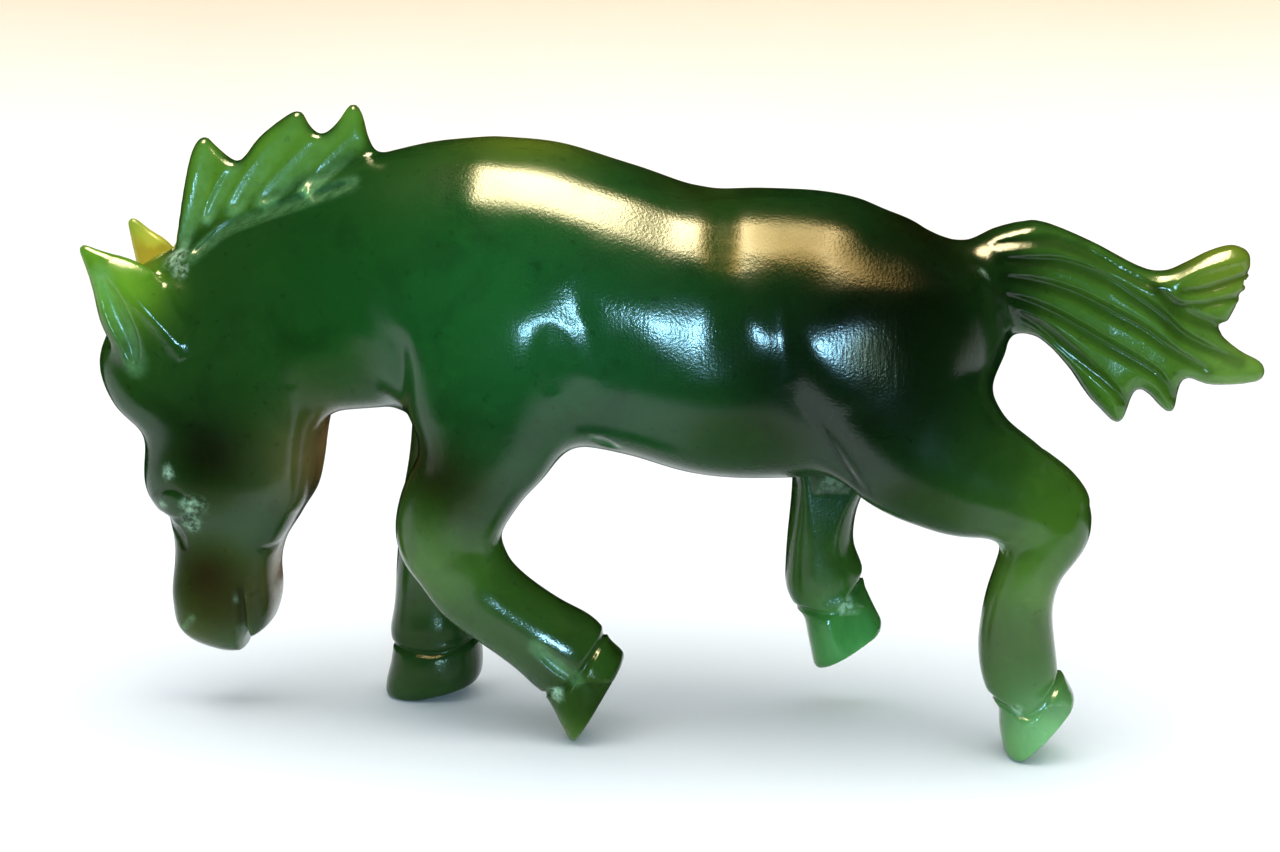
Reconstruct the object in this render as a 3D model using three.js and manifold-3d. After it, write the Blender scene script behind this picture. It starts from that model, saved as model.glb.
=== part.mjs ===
// A small carved horse: one piece of polished green stone, head down, walking on three hooves.
//
// Units are millimetres and +Z is up. The horse looks towards -X, its tail is at +X, its left side is
// at -Y, and the surface that it stands on is Z = 0. The whole figure is one stone, so every form
// below is joined into a single closed solid.

import * as THREE from 'three';
import { mergeVertices } from 'three/addons/utils/BufferGeometryUtils.js';
import Module from 'manifold-3d';

// ---------------------------------------------------------------- driving dimensions

const RING_SIDES = 16;            // corners round an oval section of a limb or the neck
const BODY_SIDES = 24;            // corners round the torso
const RING_SPACING = 2.8;         // distance between neighbouring sections of a swept form
const SQUARENESS = 2.25;          // 2 is a true oval; more makes a section boxier
const END_RINGS = 3;              // sections that round off the end of a swept form
const END_REACH = 0.75;           // length of that end, as a share of the last section's smaller half
const END_ANGLE = 80;             // degrees of the rounding that are built; a small flat closes the rest

const GRIND_SIZE = 200;           // a block whose top face grinds away what is below the surface
const SOLE_SIZE = 20;             // a block whose top face grinds one sole

const MANE_THICKNESS = 4.4;       // at the crest of the neck
const MANE_EDGE = 1.5;            // at the tips of its locks
const MANE_BASE_Z = 47;
const MANE_TOP_Z = 64;
const MANE_GROOVE = 0.9;          // radius of the round file that cut the locks apart
const MANE_SKIN = 0.4;            // how far the file's middle lay outside the surface

const TAIL_GROOVE = 0.55;         // radius of the grooves between the strands of the tail
const TAIL_SKIN = 0.25;           // how far the middle of such a groove lies outside the surface
const TAIL_BLANK = 14;            // thickness of the block that the tail's outline is cut from
const TAIL_SIDES = 24;
const TAIL_SQUARENESS = 2.6;

const EAR_SIDES = 12;
const EAR_HOLLOW_RADIUS = 1.5;
const GROOVE_SIDES = 6;

const STONE = new THREE.MeshStandardMaterial({ color: 0x1f4a26, roughness: 0.22, metalness: 0 });

// ---------------------------------------------------------------- swept forms
//
// A station is [x, y, z, half, halfWidth]: the centre of an oval section, half of its size measured
// across the sweep in the XZ plane, and half of its size along Y.

const torso = [
  [-27.6, 0, 43.6, 9.5, 8.5],
  [-25.0, 0, 45.0, 14.4, 11.0],
  [-19.5, 0, 45.2, 15.6, 12.8],
  [-13.0, 0, 44.9, 15.7, 13.3],
  [-7.0, 0, 44.3, 14.9, 13.5],
  [-1.0, 0, 42.7, 14.5, 13.5],
  [5.0, 0, 41.7, 14.5, 13.2],
  [11.0, 0, 41.6, 14.5, 13.0],
  [16.0, 0, 41.8, 14.1, 13.0],
  [21.0, 0, 42.2, 12.8, 12.8],
  [25.0, 0, 42.6, 10.4, 11.8],
  [28.4, 0, 43.2, 7.4, 9.4],
];

const neck = [
  [-19.0, 0, 45.6, 14.4, 12.0],
  [-25.4, 0, 46.2, 13.4, 10.8],
  [-29.6, 0, 45.8, 12.8, 9.6],
  [-33.7, 0, 44.6, 12.0, 8.6],
  [-38.0, 0, 43.2, 11.4, 8.0],
  [-43.5, 0.2, 41.4, 10.8, 7.6],
  [-48.5, 0.4, 40.0, 9.0, 7.2],
];

const head = [
  [-50.6, 0.4, 45.0, 6.2, 5.4],
  [-49.6, 0.4, 41.4, 10.0, 6.8],
  [-47.6, 0.6, 37.0, 11.6, 7.8],
  [-45.7, 0.7, 32.4, 10.8, 7.9],
  [-45.1, 0.8, 29.0, 9.9, 7.8],
  [-45.4, 0.8, 25.7, 9.7, 7.5],
  [-46.1, 0.9, 22.2, 8.8, 6.9],
  [-46.5, 1.0, 18.9, 6.3, 6.0],
  [-46.9, 1.0, 16.2, 5.3, 5.5],
  [-46.9, 1.1, 13.2, 5.7, 5.4],
  [-47.2, 1.2, 11.2, 5.4, 5.2],
  [-47.5, 1.2, 10.0, 4.9, 4.8],
];

const nearFore = [
  [-15.0, -6.0, 44.6, 7.4, 7.4],
  [-17.0, -6.4, 36.5, 8.6, 7.2],
  [-17.9, -6.5, 31.6, 7.5, 6.6],
  [-19.4, -6.5, 28.1, 6.2, 6.0],
  [-21.1, -6.5, 24.5, 5.7, 5.4],
  [-21.5, -6.5, 21.5, 5.5, 5.0],
  [-21.0, -6.5, 19.0, 5.2, 4.7],
  [-19.0, -6.3, 16.5, 4.7, 4.4],
  [-16.0, -6.2, 14.2, 4.4, 4.2],
  [-12.7, -6.0, 11.4, 4.5, 4.0],
  [-10.2, -6.0, 9.2, 4.4, 3.9],
  [-9.0, -5.9, 7.4, 3.8, 3.7],
];
const nearForeHoof = [
  [-9.2, -5.8, 7.2, 3.7, 4.0],
  [-7.6, -5.6, 4.6, 4.0, 4.2],
  [-6.2, -5.4, 2.0, 4.2, 4.2],
  [-4.8, -5.2, -1.2, 4.2, 4.0],
];

const farFore = [
  [-20.0, 6.0, 41.4, 7.0, 7.2],
  [-21.8, 6.4, 33.4, 6.2, 6.4],
  [-23.6, 6.8, 26.4, 5.2, 5.4],
  [-24.8, 7.1, 19.4, 4.7, 4.7],
  [-26.0, 7.3, 13.9, 4.0, 4.2],
  [-26.2, 7.3, 10.0, 4.0, 4.0],
  [-25.8, 7.3, 7.2, 4.7, 4.3],
  [-25.5, 7.3, 5.9, 4.4, 4.0],
];
const farForeHoof = [
  [-25.5, 7.3, 5.6, 4.5, 4.4],
  [-26.0, 7.3, 3.0, 5.0, 4.7],
  [-26.3, 7.3, 0.4, 4.9, 4.6],
  [-26.4, 7.3, -2.0, 4.6, 4.3],
];

const nearHind = [
  [21.3, -5.5, 45.0, 10.6, 8.6],
  [22.6, -6.2, 37.8, 10.1, 8.2],
  [25.2, -6.6, 32.8, 8.6, 7.6],
  [29.5, -6.9, 29.4, 7.1, 6.8],
  [34.2, -7.0, 27.2, 5.9, 6.0],
  [37.3, -6.9, 24.5, 5.1, 5.3],
  [36.7, -6.8, 20.2, 3.9, 4.6],
  [35.5, -6.6, 16.2, 3.5, 4.0],
  [35.3, -6.4, 12.1, 3.7, 3.8],
  [35.8, -6.3, 8.8, 3.8, 3.9],
  [36.6, -6.2, 7.0, 3.6, 3.8],
];
const nearHindHoof = [
  [37.4, -6.0, 6.8, 3.8, 4.1],
  [38.3, -5.8, 3.6, 4.1, 4.3],
  [39.3, -5.6, 0.0, 4.2, 4.3],
  [40.2, -5.4, -3.0, 4.2, 4.2],
];

const farHind = [
  [20.6, 6.0, 43.4, 9.2, 8.4],
  [20.0, 6.4, 35.9, 8.0, 7.6],
  [17.6, 6.5, 29.9, 5.6, 6.2],
  [16.0, 6.5, 23.9, 3.7, 4.8],
  [15.4, 6.4, 18.4, 3.4, 4.2],
  [15.9, 6.3, 14.6, 4.0, 4.1],
  [16.6, 6.2, 12.7, 3.9, 3.9],
];
const farHindHoof = [
  [17.3, 6.2, 12.2, 3.6, 4.2],
  [18.2, 6.2, 9.4, 3.8, 4.4],
  [19.0, 6.2, 6.6, 4.0, 4.4],
  [19.8, 6.2, 3.6, 4.0, 4.2],
];

// The underside of each hoof is a plane through [x, z] that rises towards the tail by a slope in degrees.
const soles = {
  nearFore: { x: -9.0, z: 0, slope: 60 },
  farFore: { x: -27.5, z: 0, slope: 14 },
  nearHind: { x: 36.2, z: 0, slope: 49 },
  farHind: { x: 16.2, z: 5.2, slope: 33 },
};

const nearEar = [
  [-50.4, -4.6, 41.0, 5.6, 2.6],
  [-52.9, -5.5, 43.6, 4.8, 2.4],
  [-55.2, -6.2, 46.4, 3.0, 1.7],
  [-57.2, -6.6, 49.3, 0.9, 0.8],
];
const farEar = [
  [-51.4, 4.6, 42.0, 4.0, 2.6],
  [-53.2, 5.2, 45.4, 2.9, 2.0],
  [-54.8, 5.6, 48.2, 1.7, 1.3],
  [-56.0, 5.8, 50.4, 0.6, 0.6],
];

const tailFan = [
  [28.0, 0.2, 47.6, 4.2, 5.0],
  [33.0, 0.6, 48.0, 6.0, 3.9],
  [38.0, 1.0, 46.4, 9.0, 3.0],
  [43.5, 0.8, 43.8, 11.5, 2.5],
  [49.5, 0.2, 42.6, 12.5, 2.1],
  [55.5, 0.6, 43.4, 13.5, 1.7],
  [60.5, 1.2, 43.9, 14.0, 1.4],
];

// ---------------------------------------------------------------- flat outlines, as [x, z]

const maneOutline = [
  [-51.6, 44.4], [-50.6, 49.4], [-49.2, 55.9], [-48.2, 59.4], [-47.2, 60.3], [-46.2, 59.6],
  [-44.9, 58.5], [-41.5, 60.8], [-38.6, 63.0], [-37.2, 63.4], [-36.4, 62.0], [-35.2, 61.1],
  [-33.6, 62.2], [-32.1, 63.9], [-31.4, 63.0], [-30.6, 60.4], [-29.0, 59.0], [-24.0, 55.4],
  [-24.0, 43.4], [-36.0, 41.4],
];

const tailOutline = [
  [26.0, 51.8], [29.3, 51.2], [32.0, 52.4], [34.6, 53.1], [37.0, 53.1], [41.6, 51.3],
  [46.4, 48.9], [48.8, 48.5], [51.0, 49.4], [53.3, 50.6], [55.6, 51.1], [57.1, 50.0],
  [57.2, 47.4], [56.8, 45.2], [55.2, 43.4], [54.6, 42.4], [56.4, 40.4], [58.8, 39.1],
  [58.5, 37.8], [54.0, 37.2], [51.2, 37.6], [50.1, 34.8], [47.6, 36.4], [46.4, 36.3],
  [45.0, 33.8], [43.2, 35.0], [41.6, 36.4], [40.0, 38.9], [37.0, 41.4], [35.0, 41.9],
  [32.8, 41.8], [26.0, 41.4],
];

// ---------------------------------------------------------------- cuts, as lines of [x, z] points

const maneGrooves = [
  [[-46.8, 59.8], [-48.4, 55.4], [-49.6, 50.9]],
  [[-44.2, 59.2], [-45.6, 56.0], [-47.2, 53.0]],
  [[-37.4, 63.2], [-40.6, 59.4], [-44.4, 54.8]],
  [[-33.6, 62.6], [-37.4, 58.8], [-41.4, 55.4]],
  [[-31.4, 61.4], [-34.2, 58.8], [-37.0, 56.4]],
];

const tailGrooves = [
  [[32.0, 50.6], [37.0, 51.2], [43.0, 48.8], [48.0, 46.4], [53.0, 48.0], [57.6, 48.8]],
  [[32.0, 49.0], [37.5, 49.0], [43.0, 46.0], [48.5, 43.4], [54.0, 44.0], [57.6, 45.6]],
  [[32.0, 47.2], [37.5, 46.6], [42.5, 43.6], [47.5, 40.8], [52.5, 40.0], [58.6, 39.0]],
  [[32.0, 45.4], [37.0, 44.4], [41.5, 41.4], [45.5, 38.4], [50.5, 37.4]],
  [[32.5, 43.6], [37.0, 42.6], [41.0, 39.4], [44.0, 35.8], [45.6, 33.0]],
];

const earHollow = [[-56.0, -8.6, 47.0], [-55.0, -8.5, 43.6], [-54.0, -8.6, 39.4]];

const MOUTH = { x: -45.6, z: 7.4, width: 0.7, height: 5, length: 16 };

// ---------------------------------------------------------------- geometry helpers

function sweep(stations, sides = RING_SIDES, squareness = SQUARENESS, domes = true) {
  const centres = stations.map(([x, y, z]) => new THREE.Vector3(x, y, z));
  const sizes = stations.map(([, , , half, width]) => new THREE.Vector3(half, width, 0));
  const path = new THREE.CatmullRomCurve3(centres);
  const sizePath = new THREE.CatmullRomCurve3(sizes, false, 'catmullrom');
  const steps = Math.max(4, Math.round(path.getLength() / RING_SPACING));
  const rings = [];
  for (let i = 0; i <= steps; i++) {
    const t = i / steps;
    const size = sizePath.getPoint(t);
    rings.push({ centre: path.getPoint(t), along: path.getTangent(t), half: size.x, width: size.y });
  }
  if (domes) {
    roundOff(rings, rings[0], -1);
    roundOff(rings, rings[rings.length - 1], 1);
  }
  return skin(rings, sides, squareness);
}

// Extra sections that close a swept form with a quarter oval, before its start or after its end.
function roundOff(rings, last, direction) {
  const reach = Math.min(last.half, last.width) * END_REACH;
  for (let k = 1; k <= END_RINGS; k++) {
    const angle = THREE.MathUtils.degToRad(END_ANGLE) * k / END_RINGS;
    const centre = last.centre.clone().addScaledVector(last.along, direction * reach * Math.sin(angle));
    const shrink = Math.cos(angle);
    const ring = { centre, along: last.along, half: last.half * shrink, width: last.width * shrink };
    if (direction < 0) {
      rings.unshift(ring);
    } else {
      rings.push(ring);
    }
  }
}

function skin(rings, sides, squareness) {
  const points = [];
  const faces = [];
  const power = 2 / squareness;
  for (const ring of rings) {
    const side = new THREE.Vector3(0, 1, 0).addScaledVector(ring.along, -ring.along.y).normalize();
    const across = side.clone().cross(ring.along).normalize();
    for (let j = 0; j < sides; j++) {
      const angle = (j / sides) * 2 * Math.PI;
      const c = Math.cos(angle);
      const s = Math.sin(angle);
      const a = ring.half * Math.sign(c) * Math.abs(c) ** power;
      const b = ring.width * Math.sign(s) * Math.abs(s) ** power;
      const point = ring.centre.clone().addScaledVector(across, a).addScaledVector(side, b);
      points.push(point.x, point.y, point.z);
    }
  }
  const last = rings.length - 1;
  for (let i = 0; i < last; i++) {
    for (let j = 0; j < sides; j++) {
      const next = (j + 1) % sides;
      const a = i * sides + j;
      const b = i * sides + next;
      faces.push(a, b, b + sides, a, b + sides, a + sides);
    }
  }
  const startPole = points.length / 3;
  points.push(rings[0].centre.x, rings[0].centre.y, rings[0].centre.z);
  points.push(rings[last].centre.x, rings[last].centre.y, rings[last].centre.z);
  for (let j = 0; j < sides; j++) {
    const next = (j + 1) % sides;
    faces.push(startPole, next, j);
    faces.push(startPole + 1, last * sides + j, last * sides + next);
  }
  const geometry = new THREE.BufferGeometry();
  geometry.setAttribute('position', new THREE.Float32BufferAttribute(points, 3));
  geometry.setIndex(faces);
  return geometry;
}

// A flat outline in the XZ plane, given thickness along Y about Y = 0.
function plate(outline, thickness) {
  const shape = new THREE.Shape(outline.map(([x, z]) => new THREE.Vector2(x, z)));
  const geometry = new THREE.ExtrudeGeometry(shape, { depth: thickness, bevelEnabled: false });
  geometry.translate(0, 0, -thickness / 2);
  geometry.rotateX(Math.PI / 2);
  return geometry;
}

// A round cutter of even thickness along a line of [x, y, z] points.
function cutter(points, radius) {
  const stations = points.map(([x, y, z]) => [x, y, z, radius, radius]);
  return sweep(stations, GROOVE_SIDES, 2, false);
}

// ---------------------------------------------------------------- solids

const wasm = await Module();
wasm.setup();

function solid(geometry) {
  const bare = geometry.clone();
  bare.deleteAttribute('normal');
  bare.deleteAttribute('uv');
  const merged = mergeVertices(bare, 1e-4);
  const mesh = new wasm.Mesh({
    numProp: 3,
    vertProperties: new Float32Array(merged.attributes.position.array),
    triVerts: new Uint32Array(merged.index.array),
  });
  return new wasm.Manifold(mesh);
}

function toGeometry(manifold) {
  const mesh = manifold.getMesh();
  const geometry = new THREE.BufferGeometry();
  geometry.setAttribute('position', new THREE.Float32BufferAttribute(mesh.vertProperties, 3));
  geometry.setIndex(new THREE.Uint32BufferAttribute(mesh.triVerts, 1));
  geometry.computeVertexNormals();
  return geometry;
}

// Half of the mane's thickness at height z. It tapers evenly from the neck to the tips.
function maneHalf(z) {
  const rise = (z - MANE_BASE_Z) / (MANE_TOP_Z - MANE_BASE_Z);
  return THREE.MathUtils.lerp(MANE_THICKNESS, MANE_EDGE, rise) / 2;
}

function makeMane() {
  const geometry = plate(maneOutline, 2);
  const position = geometry.attributes.position;
  for (let i = 0; i < position.count; i++) {
    position.setY(i, position.getY(i) * maneHalf(position.getZ(i)));
  }
  let mane = solid(geometry);
  for (const line of maneGrooves) {
    for (const side of [-1, 1]) {
      const points = line.map(([x, z]) => [x, side * (maneHalf(z) + MANE_SKIN), z]);
      mane = mane.subtract(solid(cutter(points, MANE_GROOVE)));
    }
  }
  return mane;
}

// The thickness of the tail fan and the sideways wave of its middle at a given x.
function tailAt(x) {
  const after = tailFan.findIndex((station) => station[0] > x);
  const a = tailFan[after - 1];
  const b = tailFan[after];
  const t = (x - a[0]) / (b[0] - a[0]);
  return { middle: THREE.MathUtils.lerp(a[1], b[1], t), half: THREE.MathUtils.lerp(a[4], b[4], t) };
}

function makeTail() {
  const fan = solid(sweep(tailFan, TAIL_SIDES, TAIL_SQUARENESS));
  let tail = fan.intersect(solid(plate(tailOutline, TAIL_BLANK)));
  for (const line of tailGrooves) {
    for (const side of [-1, 1]) {
      const points = line.map(([x, z]) => {
        const { middle, half } = tailAt(x);
        return [x, middle + side * (half + TAIL_SKIN), z];
      });
      tail = tail.subtract(solid(cutter(points, TAIL_GROOVE)));
    }
  }
  return tail;
}

function makeLeg(limb, hoof, sole) {
  const cut = new THREE.BoxGeometry(SOLE_SIZE, SOLE_SIZE, SOLE_SIZE);
  cut.translate(0, 0, -SOLE_SIZE / 2);
  cut.rotateY(-THREE.MathUtils.degToRad(sole.slope));
  cut.translate(sole.x, hoof[0][1], sole.z);
  return solid(sweep(hoof)).subtract(solid(cut)).add(solid(sweep(limb)));
}

function makeHead() {
  const mouth = new THREE.BoxGeometry(MOUTH.width, MOUTH.length, MOUTH.height);
  mouth.translate(MOUTH.x, 0, MOUTH.z);
  const ear = solid(sweep(nearEar, EAR_SIDES)).subtract(solid(cutter(earHollow, EAR_HOLLOW_RADIUS)));
  return solid(sweep(head)).subtract(solid(mouth)).add(ear).add(solid(sweep(farEar, EAR_SIDES)));
}

function makeHorse() {
  let horse = solid(sweep(torso, BODY_SIDES)).add(solid(sweep(neck, BODY_SIDES)));
  horse = horse.add(makeLeg(nearFore, nearForeHoof, soles.nearFore));
  horse = horse.add(makeLeg(farFore, farForeHoof, soles.farFore));
  horse = horse.add(makeLeg(nearHind, nearHindHoof, soles.nearHind));
  horse = horse.add(makeLeg(farHind, farHindHoof, soles.farHind));
  horse = horse.add(makeHead()).add(makeMane()).add(makeTail());
  const ground = new THREE.BoxGeometry(GRIND_SIZE, GRIND_SIZE, GRIND_SIZE);
  ground.translate(0, 0, -GRIND_SIZE / 2);
  return toGeometry(horse.subtract(solid(ground)));
}

const figurine = new THREE.Group();
const horse = new THREE.Mesh(makeHorse(), STONE);
horse.name = 'carved_horse';
figurine.add(horse);

export default figurine;
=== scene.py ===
"""A small carved jade horse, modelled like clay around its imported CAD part.

The clay is a grid of signed distances (below zero is inside the stone). Swept forms, two flat plates and
many small tool marks shape it, then it becomes one mesh. The tables below are in millimetres, in the
part's own frame: the head is at -X, the tail at +X, the near side at -Y and the ground at Z = 0.
"""

import math

import bpy
import numpy as np
import openvdb as vdb
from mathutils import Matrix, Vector


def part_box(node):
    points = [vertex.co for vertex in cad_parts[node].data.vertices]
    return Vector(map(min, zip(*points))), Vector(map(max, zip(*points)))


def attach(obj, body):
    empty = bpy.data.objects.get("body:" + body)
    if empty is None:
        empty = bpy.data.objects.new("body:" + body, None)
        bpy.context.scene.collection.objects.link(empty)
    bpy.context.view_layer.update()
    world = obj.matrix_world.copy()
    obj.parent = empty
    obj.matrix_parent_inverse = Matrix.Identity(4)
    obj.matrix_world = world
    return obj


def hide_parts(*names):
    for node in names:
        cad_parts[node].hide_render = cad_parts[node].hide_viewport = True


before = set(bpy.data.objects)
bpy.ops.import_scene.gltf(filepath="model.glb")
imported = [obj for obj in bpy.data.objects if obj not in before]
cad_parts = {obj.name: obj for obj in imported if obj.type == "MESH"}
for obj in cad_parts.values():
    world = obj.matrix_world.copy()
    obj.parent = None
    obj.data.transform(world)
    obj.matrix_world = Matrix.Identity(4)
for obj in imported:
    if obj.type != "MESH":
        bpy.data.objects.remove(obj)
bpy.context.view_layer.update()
PART_LOW, PART_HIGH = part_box("carved_horse")

MM = 0.001                              # metres in a millimetre
VOXEL = 0.27    # size of a grid cell
BAND = 3.2                              # distances are true this far from the surface
MARGIN = 3.5                            # air kept round the part
MAX_TRIANGLES = 190_000
BUFFING = 0.6                           # radius of the blur that rounds the body's joins
RING_SIDES = 56
END_ANGLES = np.radians([20, 40, 60, 75, 86])   # sections of a rounded end
END_BULGE = 0.75                        # how far it bulges, as a share of the least half size
RING_STEPS = 7                          # sections between two stations
SQUARE = 2.25                           # 2 is a true oval; more makes a section boxier
HEAD_SQUARE = 3.5
HEAD_EVENING = 150                      # rounds that even out the tilts of the head's sections
HOOF_SQUARE = 2.5
LIMB_JOIN = 2.2                         # how far a leg blends into the body
PLATE_CORNER = 0.35                     # rounding of a plate's edge
SIDE_START, SIDE_FADE = 0.5, 2.5        # a one-sided mark starts this far from the middle, over this much
NEAR = -1
FAR = 1
BOTH = 0
THROUGH = 9                             # a mark that ignores which side it is on

# ---------------------------------------------------------------- swept forms, as in the CAD part
# A station is x, y, z, half size across the sweep in the XZ plane, half width along Y.

TORSO = [
    (-27.6, 0, 43.6, 9.5, 8.5), (-25.0, 0, 45.0, 14.4, 11.0), (-19.5, 0, 45.2, 15.6, 12.8),
    (-13.0, 0, 44.9, 15.7, 13.3), (-7.0, 0, 44.2, 14.5, 13.5), (-1.0, 0, 42.8, 13.9, 13.5),
    (5.0, 0, 41.7, 14.5, 13.2), (11.0, 0, 41.6, 14.5, 13.0), (16.0, 0, 41.8, 14.1, 13.0),
    (21.0, 0, 42.2, 12.8, 12.8), (25.0, 0, 42.8, 10.6, 11.8), (28.4, 0, 43.2, 7.4, 9.4),
]
NECK = [
    (-19.0, 0, 45.6, 14.4, 12.0), (-25.4, 0, 46.0, 13.2, 10.8), (-29.6, 0, 45.8, 12.8, 9.6),
    (-33.7, 0, 44.6, 12.0, 8.6), (-38.0, 0, 43.2, 11.4, 8.0), (-43.5, 0.2, 41.4, 10.8, 7.6),
    (-48.5, 0.4, 40.0, 9.0, 7.2),
]
HEAD = [
    (-50.4, 0.4, 45.0, 6.0, 5.4), (-49.4, 0.4, 41.4, 9.8, 6.8), (-46.9, 0.6, 37.2, 11.0, 7.8),
    (-44.8, 0.7, 32.6, 9.8, 7.9), (-44.9, 0.8, 29.0, 9.3, 7.8), (-45.6, 0.8, 25.9, 8.9, 7.6),
    (-45.9, 0.9, 24.0, 8.5, 7.3), (-45.9, 0.9, 22.3, 7.4, 6.9), (-45.8, 0.9, 20.9, 6.4, 6.4),
    (-46.3, 1.0, 18.9, 5.5, 6.0), (-46.7, 1.0, 16.2, 5.2, 5.5), (-46.9, 1.1, 13.2, 5.5, 5.5),
    (-47.2, 1.2, 11.2, 5.3, 5.3),
    (-47.5, 1.2, 10.0, 5.0, 4.9),
]
NEAR_FORE = [
    (-15.0, -6.0, 44.6, 7.4, 7.4), (-17.0, -6.4, 36.5, 8.6, 7.2), (-17.9, -6.5, 31.6, 7.5, 6.6),
    (-19.3, -6.5, 28.0, 5.8, 6.0), (-21.2, -6.5, 24.5, 5.5, 5.4), (-21.7, -6.5, 21.5, 5.4, 5.0),
    (-20.7, -6.5, 18.9, 4.7, 4.7), (-19.1, -6.3, 16.1, 4.4, 4.4), (-16.3, -6.2, 13.7, 4.1, 4.2),
    (-12.9, -6.0, 11.2, 4.2, 4.0), (-10.1, -6.0, 9.2, 4.7, 4.0), (-8.8, -5.9, 7.6, 4.3, 3.8),
]
NEAR_FORE_HOOF = [
    (-8.7, -5.8, 7.5, 4.3, 4.0), (-6.9, -5.6, 5.0, 4.7, 4.2), (-5.7, -5.4, 2.2, 4.6, 4.2),
    (-4.4, -5.2, -1.0, 4.4, 4.0),
]
FAR_FORE = [
    (-20.0, 6.0, 41.4, 7.0, 7.2), (-21.6, 6.4, 33.4, 6.0, 6.4), (-23.3, 6.8, 26.4, 4.9, 5.4),
    (-24.8, 7.1, 19.4, 4.7, 4.7), (-26.0, 7.3, 13.9, 4.0, 4.2), (-26.2, 7.3, 10.0, 4.1, 4.1),
    (-26.0, 7.3, 7.4, 4.9, 4.4), (-25.6, 7.3, 6.0, 4.3, 4.0),
]
FAR_FORE_HOOF = [
    (-25.7, 7.3, 5.6, 4.7, 4.4), (-25.9, 7.3, 3.0, 4.9, 4.7), (-26.9, 7.3, 0.4, 4.5, 4.6),
    (-27.2, 7.3, -2.0, 4.2, 4.3),
]
NEAR_HIND = [
    (21.0, -5.0, 45.0, 10.4, 7.8), (21.9, -5.7, 37.7, 9.3, 7.8), (25.2, -6.2, 32.9, 8.6, 6.9),
    (29.6, -6.6, 29.6, 6.9, 6.1), (34.4, -6.8, 27.5, 5.2, 5.5), (38.0, -6.8, 24.7, 4.3, 4.9),
    (36.4, -6.8, 20.2, 3.3, 4.4), (35.4, -6.6, 16.2, 3.4, 4.0), (35.3, -6.4, 12.1, 3.8, 3.9),
    (35.8, -6.3, 8.8, 3.8, 3.9), (36.5, -6.2, 7.0, 3.4, 3.8),
]
NEAR_HIND_HOOF = [
    (37.2, -6.0, 6.8, 3.5, 4.0), (38.1, -5.8, 3.6, 4.2, 4.3), (39.1, -5.6, 0.0, 4.3, 4.3),
    (40.0, -5.4, -3.0, 4.3, 4.2),
]
FAR_HIND = [
    (20.6, 6.0, 43.4, 9.2, 8.4), (20.0, 6.4, 35.9, 8.0, 7.6), (17.6, 6.5, 29.9, 5.6, 6.2),
    (16.0, 6.5, 23.9, 3.7, 4.8), (15.4, 6.4, 18.4, 3.5, 4.2), (15.9, 6.3, 14.6, 4.2, 4.2),
    (16.4, 6.2, 12.7, 3.9, 3.9),
]
FAR_HIND_HOOF = [
    (17.0, 6.2, 12.2, 3.4, 4.1), (17.9, 6.2, 9.4, 3.8, 4.4), (18.9, 6.2, 6.6, 4.2, 4.4),
    (19.7, 6.2, 3.6, 4.2, 4.2),
]
NEAR_EAR = [
    (-50.4, -4.6, 41.0, 5.6, 2.6), (-52.8, -5.5, 43.7, 4.6, 2.4), (-54.8, -6.2, 46.6, 3.2, 1.7),
    (-56.8, -6.6, 48.8, 1.5, 1.0), (-58.2, -6.8, 50.3, 0.5, 0.5),
]

# The underside of a hoof is a plane through x, z that rises towards the tail by a slope in degrees.
LEGS = [
    (NEAR_FORE, NEAR_FORE_HOOF, (-9.0, 0.0, 60)),
    (FAR_FORE, FAR_FORE_HOOF, (-27.5, 0.0, 14)),
    (NEAR_HIND, NEAR_HIND_HOOF, (36.2, 0.0, 49)),
    (FAR_HIND, FAR_HIND_HOOF, (16.2, 5.2, 33)),
]

# ---------------------------------------------------------------- flat plates, as x, z outlines

MANE_OUTLINE = [
    (-51.6, 44.4), (-50.6, 49.4), (-49.4, 55.9), (-48.4, 59.5), (-47.2, 60.8), (-46.1, 59.8),
    (-43.8, 58.3), (-41.5, 60.8), (-38.6, 63.0), (-37.2, 63.4), (-36.4, 62.0), (-35.2, 61.1),
    (-33.6, 62.2), (-32.0, 64.2), (-31.0, 63.3), (-30.3, 60.6), (-29.0, 58.8), (-24.0, 55.4),
    (-24.0, 43.4), (-36.0, 41.4),
]
TAIL_OUTLINE = [
    (24.0, 50.8), (29.3, 51.2), (32.0, 52.4), (34.6, 53.1), (37.0, 53.1), (41.6, 51.3),
    (46.4, 48.9), (48.8, 48.5), (51.0, 49.4), (53.3, 50.6), (55.6, 51.1), (57.1, 50.0),
    (57.0, 47.4), (56.2, 45.5), (55.2, 43.4), (54.6, 42.4), (56.6, 40.6), (59.0, 39.2),
    (58.6, 37.5), (54.0, 37.1), (51.2, 37.7), (50.2, 34.2), (47.6, 36.3), (46.5, 36.3),
    (45.2, 33.0), (43.0, 34.6), (41.5, 36.3), (39.8, 38.7), (37.0, 41.4), (35.0, 41.9),
    (32.8, 41.8), (24.0, 41.4),
]
FAR_EAR_OUTLINE = [
    (-57.1, 51.3), (-56.5, 51.8), (-54.8, 50.5), (-52.6, 48.8), (-50.6, 45.0), (-51.4, 41.0),
    (-54.6, 42.0), (-56.3, 46.2), (-56.8, 48.7),
]

# ---------------------------------------------------------------- the clay


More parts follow.
